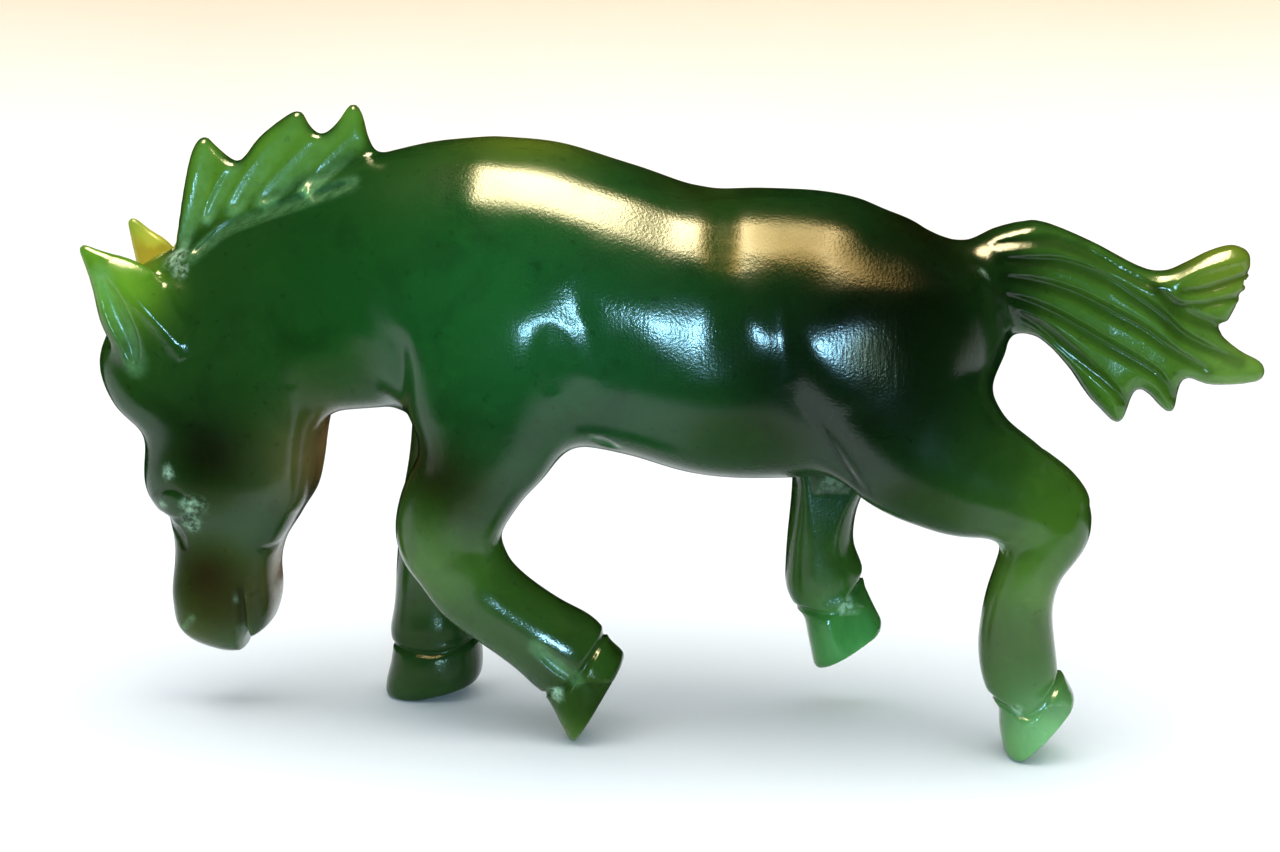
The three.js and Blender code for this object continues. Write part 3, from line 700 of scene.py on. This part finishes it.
# Colour spots on the stone: x, y, z, radius, strength, display colour. A few, noted where they stand, are
# painted reflection or painted shade.
SPOTS = [
    (-46.0, -6.0, 29.5, 5.5, 0.95, (13, 11, 3)),
    (-47.4, -4.0, 15.5, 4.5, 0.95, (34, 22, 7)),
    (-44.0, -4.0, 12.0, 4.0, 0.7, (40, 40, 18)),
    (-50.0, 0.0, 8.8, 2.8, 0.8, (76, 78, 22)),
    (-47.6, -5.0, 12.0, 3.0, 0.5, (44, 38, 12)),
    (-55.0, 0.0, 38.0, 4.0, 0.6, (54, 88, 20)),
    (-54.5, -6.5, 46.5, 4.0, 0.85, (116, 164, 34)),
    (-30.0, -6.0, 46.0, 12.0, 0.7, (18, 70, 20)),
    (-24.0, -4.0, 56.0, 6.0, 0.6, (42, 72, 14)),
    (-14.0, 0.0, 61.5, 6.0, 0.85, (104, 116, 26)),
    (-15.0, -8.0, 46.0, 12.0, 0.8, (26, 90, 36)),
    (-4.0, -10.0, 40.0, 10.0, 0.6, (19, 72, 34)),
    (3.0, 0.0, 57.0, 6.0, 0.5, (50, 60, 12)),
    (18.0, -6.0, 44.0, 12.0, 0.95, (6, 15, 6)),
    (23.0, -8.0, 37.0, 9.0, 0.9, (9, 19, 6)),
    (31.0, -7.0, 30.0, 5.0, 0.6, (34, 62, 20)),
    (37.5, -7.0, 25.0, 5.0, 0.8, (72, 106, 24)),
    (36.5, -7.0, 19.0, 4.0, 0.8, (92, 124, 44)),
    (34.0, -7.0, 13.5, 3.5, 0.8, (62, 76, 30)),
    (38.8, -6.0, 3.0, 4.2, 0.95, (134, 194, 122)),
    (-21.3, -8.5, 28.6, 5.0, 1.0, (22, 13, 2)),
    (-23.0, -8.0, 20.0, 4.5, 0.85, (78, 112, 34)),
    (-15.5, -9.0, 13.5, 4.5, 0.7, (36, 62, 18)),
    (-10.5, -8.0, 9.0, 4.0, 0.8, (18, 34, 10)),
    (-6.8, -8.0, 5.0, 3.4, 0.85, (24, 42, 12)),
    (-8.6, -6.0, 0.6, 1.8, 0.8, (104, 122, 40)),
    (-25.0, 8.0, 6.0, 8.0, 0.9, (16, 38, 18)),
    # These two warm brown spots, behind the jaw and behind the chin, are painted reflections of the warm
    # backdrop on bevels that face away.
    (-35.8, 3.5, 29.0, 5.0, 0.95, (184, 140, 84)),
    (-40.8, 3.5, 15.5, 3.4, 0.9, (140, 104, 66)),
    (17.0, 7.0, 22.0, 5.0, 0.8, (14, 44, 20)),
    (18.8, 7.0, 8.2, 4.2, 0.95, (84, 176, 88)),
    (-55.0, 5.0, 48.0, 3.5, 0.95, (216, 196, 62)),
    (31.0, 0.0, 48.0, 5.0, 0.85, (20, 38, 8)),
    (54.5, 0.0, 49.5, 4.0, 0.6, (128, 132, 32)),
    (56.5, 0.0, 39.5, 4.5, 0.7, (112, 140, 56)),
    (25.0, -2.0, 53.5, 5.0, 0.8, (20, 18, 3)),
    (24.0, -9.0, 46.5, 7.0, 0.85, (5, 9, 3)),
    # This dark spot on the flank crease is painted shade in the crease.
    (11.3, -11.0, 40.0, 5.0, 0.6, (6, 20, 9)),
]
THICK_COLOUR = (22, 56, 17)
# Thin stone gets a lighter colour: a painted glow that stands in for light shining through it.
THIN_GLOW_COLOUR = (112, 160, 44)
THIN_GLOW_SHARE, THIN_GLOW_DEPTH = 1.15, 4.2      # how much of the thin colour shows, and how fast it fades, in mm
FRESH_CUT_COLOUR = (150, 214, 140)
CHIP_COLOUR = (166, 196, 160)
FINE_BUMP = 1.3e-5                      # height of the polish's grain and hair-lines, in metres
BURR_BUMP = 1.4e-4                      # height of the burr marks' chips, in metres

# Places left with brush marks and not polished to a full gloss, whose reflections also get a painted warm
# tint: x, y, z, radius, strength.
BRUSHED = [
    (5.8, -10.0, 50.0, 2.2, 1.0), (5.8, -9.0, 51.3, 2.2, 1.0), (5.8, -8.0, 52.6, 2.2, 1.0),
    (5.8, -7.0, 53.9, 2.2, 1.0), (5.8, -6.0, 55.2, 2.2, 1.0), (13.0, -6.0, 54.0, 6.0, 0.75),
    (13.0, -10.0, 49.6, 4.0, 0.8), (22.0, -5.0, 52.0, 7.5, 1.0), (16.0, 4.0, 55.0, 9.0, 0.7),
    (24.5, -9.0, 45.0, 5.5, 0.9), (21.4, -12.0, 42.0, 3.6, 0.8), (-33.6, -8.0, 39.5, 5.0, 0.7),
    (8.0, -11.0, 31.0, 6.0, 0.7), (25.6, -10.0, 26.0, 4.5, 0.7), (-41.0, 3.0, 16.0, 3.6, 0.8),
    (-47.4, -5.5, 14.8, 5.6, 0.95), (-7.5, -8.0, 5.0, 4.0, 0.9), (-20.5, -10.0, 29.0, 4.5, 0.6),
    (-25.6, 3.0, 6.0, 6.0, 0.5), (-46.5, -6.5, 27.0, 4.0, 0.7),
]

# Places that the polishing wheel couldn't reach: x, y, z, radius.
BURR_MARKS = [
    (-50.7, -7.0, 27.2, 0.8), (-48.5, -7.1, 23.6, 1.2), (-48.8, -6.3, 21.6, 1.1), (-51.9, -6.0, 23.4, 0.7),
    (-44.2, -5.0, 13.3, 0.8), (-30.4, -2.5, 57.0, 1.0), (-49.6, -3.0, 48.6, 1.3), (-48.8, -4.6, 47.6, 0.9),
    (30.0, -4.0, 42.2, 1.2), (30.4, -4.6, 48.2, 0.9), (-13.8, -9.0, 22.2, 0.7), (33.0, -9.0, 22.6, 0.7),
    (-10.6, -9.0, 6.0, 0.8), (35.6, -9.0, 6.0, 0.8), (18.2, 3.0, 12.4, 0.9), (16.8, 2.0, 27.2, 1.2),
]


def paint(clay, mesh):
    """Stores the stone's colour and its unpolished places on the vertices. The colour also holds painted
    light: a glow where the stone is thin, a few painted reflection and shade spots, and painted shade in
    some grooves.
    """
    points = get_points(mesh)
    normals = clay.slope(points)
    thickness = spread(mesh, stone_thickness(clay, points, normals), 12)
    # Where the stone is thin its colour moves towards the lighter thin colour: painted glow of light shining
    # through it.
    thin = np.clip(THIN_GLOW_SHARE * np.exp(-thickness / THIN_GLOW_DEPTH), 0, 1)
    colour = linear(THICK_COLOUR) * (1 - thin[:, None]) + linear(THIN_GLOW_COLOUR) * thin[:, None]
    for x, y, z, radius, strength, tint in SPOTS:
        far = ((points[:, 0] - x)**2 + ((points[:, 1] - y) * 0.7)**2 + (points[:, 2] - z)**2) / radius**2
        weight = (strength * np.exp(-far))[:, None]
        colour = colour * (1 - weight) + linear(tint) * weight
    frost = np.zeros(len(points))
    burr = np.zeros(len(points))
    for line, width, side, amount in clay.marks:
        distance, _ = line_distance(line, points[:, 0], points[:, 2])
        mark = amount * np.clip(1.5 - 1.2 * distance / width, 0, 1) * side_mask(points[:, 1], side)
        if amount > 0:
            frost = np.maximum(frost, mark)
        else:
            # A mark whose frost is below zero darkens the colour along its groove: painted shade.
            colour *= (1 + mark)[:, None]
    for x, y, z, radius in BURR_MARKS:
        far = ((points[:, 0] - x)**2 + (points[:, 1] - y)**2 + (points[:, 2] - z)**2) / radius**2
        burr = np.maximum(burr, np.exp(-far * far))
    store(mesh, "stone_colour", "FLOAT_COLOR", np.hstack([colour, np.ones((len(points), 1))]), "color")
    brushed_and_warm_sheen = np.zeros(len(points))
    for x, y, z, radius, strength in BRUSHED:
        far = ((points[:, 0] - x)**2 + ((points[:, 1] - y) * 0.6)**2 + (points[:, 2] - z)**2) / radius**2
        brushed_and_warm_sheen = np.maximum(brushed_and_warm_sheen, strength * np.exp(-far * far))
    store(mesh, "brushed_and_warm_sheen", "FLOAT", brushed_and_warm_sheen, "value")
    store(mesh, "frost", "FLOAT", frost, "value")
    store(mesh, "burr", "FLOAT", burr, "value")


def store(mesh, name, kind, values, field):
    attribute = mesh.attributes.new(name, kind, "POINT")
    attribute.data.foreach_set(field, np.asarray(values, np.float32).ravel())


# ---------------------------------------------------------------- materials


def principled(name, roughness):
    material = bpy.data.materials.new(name)
    material.use_nodes = True
    shader = material.node_tree.nodes["Principled BSDF"]
    shader.inputs["Roughness"].default_value = roughness
    return material, shader


class Nodes:
    """Short names for making and joining shader nodes."""

    def __init__(self, tree):
        self.tree = tree

    def make(self, kind, **settings):
        node = self.tree.nodes.new(kind)
        for key, value in settings.items():
            setattr(node, key, value)
        return node

    def link(self, output, socket):
        self.tree.links.new(output, socket)

    def attribute(self, name):
        return self.make("ShaderNodeAttribute", attribute_name=name)

    def noise(self, vector, scale, detail=3.0, roughness=0.5, distortion=0.0):
        node = self.make("ShaderNodeTexNoise")
        node.inputs["Scale"].default_value = scale
        node.inputs["Detail"].default_value = detail
        node.inputs["Roughness"].default_value = roughness
        node.inputs["Distortion"].default_value = distortion
        self.link(vector, node.inputs["Vector"])
        return node.outputs["Fac"]

    def ramp(self, value, low, high, to_low=0.0, to_high=1.0):
        node = self.make("ShaderNodeMapRange")
        for name, number in (("From Min", low), ("From Max", high), ("To Min", to_low), ("To Max", to_high)):
            node.inputs[name].default_value = number
        self.link(value, node.inputs["Value"])
        return node.outputs["Result"]

    def math(self, operation, a, b):
        node = self.make("ShaderNodeMath", operation=operation)
        for socket, value in zip(node.inputs, (a, b)):
            if isinstance(value, (int, float)):
                socket.default_value = value
            else:
                self.link(value, socket)
        return node.outputs[0]

    def mix(self, blend, factor, a, b):
        node = self.make("ShaderNodeMix", data_type="RGBA", blend_type=blend)
        sockets = {s.identifier: s for s in node.inputs}
        for name, value in (("Factor_Float", factor), ("A_Color", a), ("B_Color", b)):
            socket = sockets[name]
            if isinstance(value, (int, float)):
                socket.default_value = value
            elif isinstance(value, tuple):
                socket.default_value = (*value, 1.0)
            else:
                self.link(value, socket)
        return next(s for s in node.outputs if s.identifier == "Result_Color")


def jade():
    """Polished nephrite: cloudy, faintly translucent, with hair-lines in its gloss."""
    material, shader = principled("jade", 0.2)
    n = Nodes(material.node_tree)
    place = n.make("ShaderNodeTexCoord").outputs["Object"]
    stone = n.attribute("stone_colour").outputs["Color"]
    frost = n.attribute("frost").outputs["Fac"]
    cloud = n.ramp(n.noise(place, 130, 4, 0.55, 0.6), 0.3, 0.7, 0.72, 1.3)
    colour = n.mix("MULTIPLY", 1.0, stone, n.mix("MIX", cloud, (0.0, 0.0, 0.0), (1.0, 1.0, 1.0)))
    wisps = n.ramp(n.noise(place, 260, 5, 0.6, 1.6), 0.56, 0.78, 0.0, 0.3)
    colour = n.mix("MIX", wisps, colour, n.mix("MULTIPLY", 1.0, colour, (1.9, 1.7, 1.5)))
    flecks = n.ramp(n.noise(place, 900, 2, 0.5), 0.66, 0.72, 0.0, 0.45)
    colour = n.mix("MULTIPLY", flecks, colour, (0.45, 0.5, 0.4))
    chips = n.ramp(n.noise(place, 1500, 3, 0.6), 0.4, 0.62)
    burr = n.attribute("burr").outputs["Fac"]
    scraped = n.math("MULTIPLY", frost, n.ramp(n.noise(place, 700, 3, 0.6), 0.3, 0.65, 0.16, 0.62))
    colour = n.mix("MIX", scraped, colour, tuple(linear(FRESH_CUT_COLOUR)))
    colour = n.mix("MIX", n.math("MULTIPLY", burr, chips), colour, tuple(linear(CHIP_COLOUR)))
    n.link(colour, shader.inputs["Base Color"])

    haze = n.ramp(n.noise(place, 220, 3), 0.3, 0.7, 0.13, 0.215)
    brushed_and_warm_sheen = n.attribute("brushed_and_warm_sheen").outputs["Fac"]
    unpolished = n.math("MULTIPLY", n.math("MAXIMUM", frost, burr), 0.25)
    dull = n.math("ADD", unpolished, n.math("MULTIPLY", brushed_and_warm_sheen, 0.05))
    n.link(n.math("ADD", haze, dull), shader.inputs["Roughness"])

    stretched = n.make("ShaderNodeMapping")
    stretched.inputs["Scale"].default_value = (1.0, 1.0, 0.12)
    n.link(place, stretched.inputs["Vector"])
    hairs = n.noise(stretched.outputs["Vector"], 3200, 2)
    grain = n.math("MULTIPLY", n.noise(place, 3800, 2, 0.6), 1.4)
    fine = n.make("ShaderNodeBump", invert=False)
    fine.inputs["Strength"].default_value = 1.0
    fine.inputs["Distance"].default_value = FINE_BUMP
    streaks = n.math("MULTIPLY", hairs, n.math("ADD", 0.7, n.math("MULTIPLY", brushed_and_warm_sheen, 1.2)))
    n.link(n.math("ADD", grain, streaks), fine.inputs["Height"])
    rough = n.make("ShaderNodeBump", invert=False)
    rough.inputs["Strength"].default_value = 1.0
    rough.inputs["Distance"].default_value = BURR_BUMP
    n.link(n.math("MULTIPLY", burr, n.noise(place, 1300, 3, 0.6)), rough.inputs["Height"])
    n.link(fine.outputs["Normal"], rough.inputs["Normal"])
    n.link(rough.outputs["Normal"], shader.inputs["Normal"])

    shader.inputs["IOR"].default_value = 1.43
    n.link(n.ramp(brushed_and_warm_sheen, 0.0, 1.0, 0.5, 0.02), shader.inputs["Specular IOR Level"])
    # At these places the specular tint turns warm brown-orange: a painted warm tint on their reflections.
    n.link(n.mix("MIX", brushed_and_warm_sheen, (0.98, 0.98, 0.98), (1.0, 0.68, 0.28)), shader.inputs["Specular Tint"])
    shader.inputs["Subsurface Weight"].default_value = 0.35
    shader.inputs["Subsurface Scale"].default_value = 1.0 * MM
    shader.inputs["Subsurface Radius"].default_value = (0.7, 1.0, 0.45)
    return material


def cloth():
    """Nearly white cloth, painted cream where it rises: painted warm light on the backdrop."""
    material, shader = principled("studio_cloth", 0.9)
    n = Nodes(material.node_tree)
    place = n.make("ShaderNodeTexCoord").outputs["Object"]
    axes = n.make("ShaderNodeSeparateXYZ")
    n.link(place, axes.inputs["Vector"])
    height = n.ramp(axes.outputs["Z"], 0.002, 0.06)
    # The cream mixed in as the cloth rises is painted warm light.
    n.link(n.mix("MIX", height, (0.88, 0.92, 0.95), (0.80, 0.66, 0.50)), shader.inputs["Base Color"])
    bump = n.make("ShaderNodeBump", invert=False)
    bump.inputs["Strength"].default_value = 0.3
    bump.inputs["Distance"].default_value = 5e-5
    n.link(n.noise(place, 1600, 3), bump.inputs["Height"])
    n.link(bump.outputs["Normal"], shader.inputs["Normal"])
    return material


# ---------------------------------------------------------------- studio
# Azimuth turns the view round the horse, 0 along +Y; lengths here are in metres.

VIEW_AZIMUTH = 5.5
VIEW_ELEVATION = 13.0
VIEW_DISTANCE = 0.240
VIEW_TARGET = Vector((-0.003, 0.0, 0.0317))
LENS = 66.15
SENSOR = 36.0


def view_direction():
    """From the target to the camera."""
    a, e = math.radians(VIEW_AZIMUTH), math.radians(VIEW_ELEVATION)
    return Vector((math.sin(a) * math.cos(e), -math.cos(a) * math.cos(e), math.sin(e)))


def make_camera():
    data = bpy.data.cameras.new("camera")
    data.lens = LENS
    data.sensor_width = SENSOR
    data.clip_start = 0.01
    data.clip_end = 10
    camera = bpy.data.objects.new("camera", data)
    camera.location = VIEW_TARGET + view_direction() * VIEW_DISTANCE
    camera.rotation_euler = (-view_direction()).to_track_quat("-Z", "Y").to_euler()
    bpy.context.scene.collection.objects.link(camera)
    bpy.context.scene.camera = camera
    return camera


def area_light(name, location, target, size, power, colour):
    data = bpy.data.lights.new(name, "AREA")
    data.shape = "RECTANGLE"
    data.size, data.size_y = size
    data.energy = power
    data.color = colour
    light = bpy.data.objects.new(name, data)
    light.location = location
    light.rotation_euler = (Vector(target) - Vector(location)).to_track_quat("-Z", "Y").to_euler()
    bpy.context.scene.collection.objects.link(light)
    return light


def make_lights(camera):
    """Lamps of a soft studio: sizes in metres, powers in watts."""
    middle = (PART_LOW + PART_HIGH) / 2
    up = camera.rotation_euler.to_matrix() @ Vector((0, 1, 0))
    # The two sheen lamps show only as reflections, the sky and the wall wash only as soft light.
    core = area_light("sheen_core", (-0.004, -0.055, 0.36), middle, (0.155, 0.22), 4.8, (1.0, 0.86, 0.52))
    halo = area_light("sheen_halo", (0.0, -0.05, 0.37), middle, (0.22, 0.29), 1.5, (1.0, 0.76, 0.36))
    core.visible_diffuse = False
    halo.visible_diffuse = False
    area_light("cool_front", camera.location - up * 0.055, middle, (0.026, 0.026), 0.42, (0.36, 0.74, 1.0))
    sky = area_light("soft_sky", (0.0, -0.06, 0.50), middle, (0.7, 0.5), 2.9, (0.92, 0.96, 1.0))
    backdrop_foot = (0.0, 0.37, 0.04)
    wall = area_light("wall_wash", (0.0, 0.14, 0.34), backdrop_foot, (0.9, 0.05), 0.28, (1.0, 0.62, 0.42))
    wall.data.spread = math.radians(70)
    sky.visible_glossy = False
    wall.visible_glossy = False
    world = bpy.data.worlds.new("studio")
    bpy.context.scene.world = world
    world.use_nodes = True
    world.cycles_visibility.glossy = False
    background = world.node_tree.nodes["Background"]
    background.inputs["Color"].default_value = (0.92, 0.96, 1.0, 1)
    background.inputs["Strength"].default_value = 0.55


def make_sheet(name, profile, half, material):
    """A sheet that runs along X with a profile of y, z points."""
    points = [(side * half, y, z) for y, z in profile for side in (-1, 1)]
    faces = [(2 * i, 2 * i + 1, 2 * i + 3, 2 * i + 2) for i in range(len(profile) - 1)]
    mesh = bpy.data.meshes.new(name)
    mesh.from_pydata(points, [], faces)
    mesh.shade_smooth()
    mesh.materials.append(material)
    sheet = bpy.data.objects.new(name, mesh)
    bpy.context.scene.collection.objects.link(sheet)
    return sheet


def make_floor():
    """A pale cloth that lies flat round the horse and curves up far behind it, beyond the views from the
    back. The horse mirrors only the strip that it stands on."""
    front, strip_front, strip_back, flat_end = -0.6, -0.052, 0.05, 0.32
    bend, top, half = 0.07, 0.5, 1.2
    curve = [(flat_end + bend * math.sin(a), bend * (1 - math.cos(a)))
             for a in np.linspace(0, math.pi / 2, 17)]
    material = cloth()
    make_sheet("floor", [(strip_front, 0.0), (strip_back, 0.0)], half, material)
    rise = make_sheet("backdrop", [(strip_back, 0.0)] + curve + [(flat_end + bend, top)], half, material)
    rise.visible_glossy = False
    apron = make_sheet("front_floor", [(front, 0.0), (strip_front, 0.0)], half, material)
    apron.visible_glossy = False
    apron.visible_diffuse = False


camera = make_camera()
make_lights(camera)
make_floor()

clay = sculpt()
horse = make_mesh(clay)
paint(clay, horse.data)
horse.data.materials.append(jade())
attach(horse, "root")
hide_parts("carved_horse")

bpy.context.scene.view_settings.view_transform = "Standard"
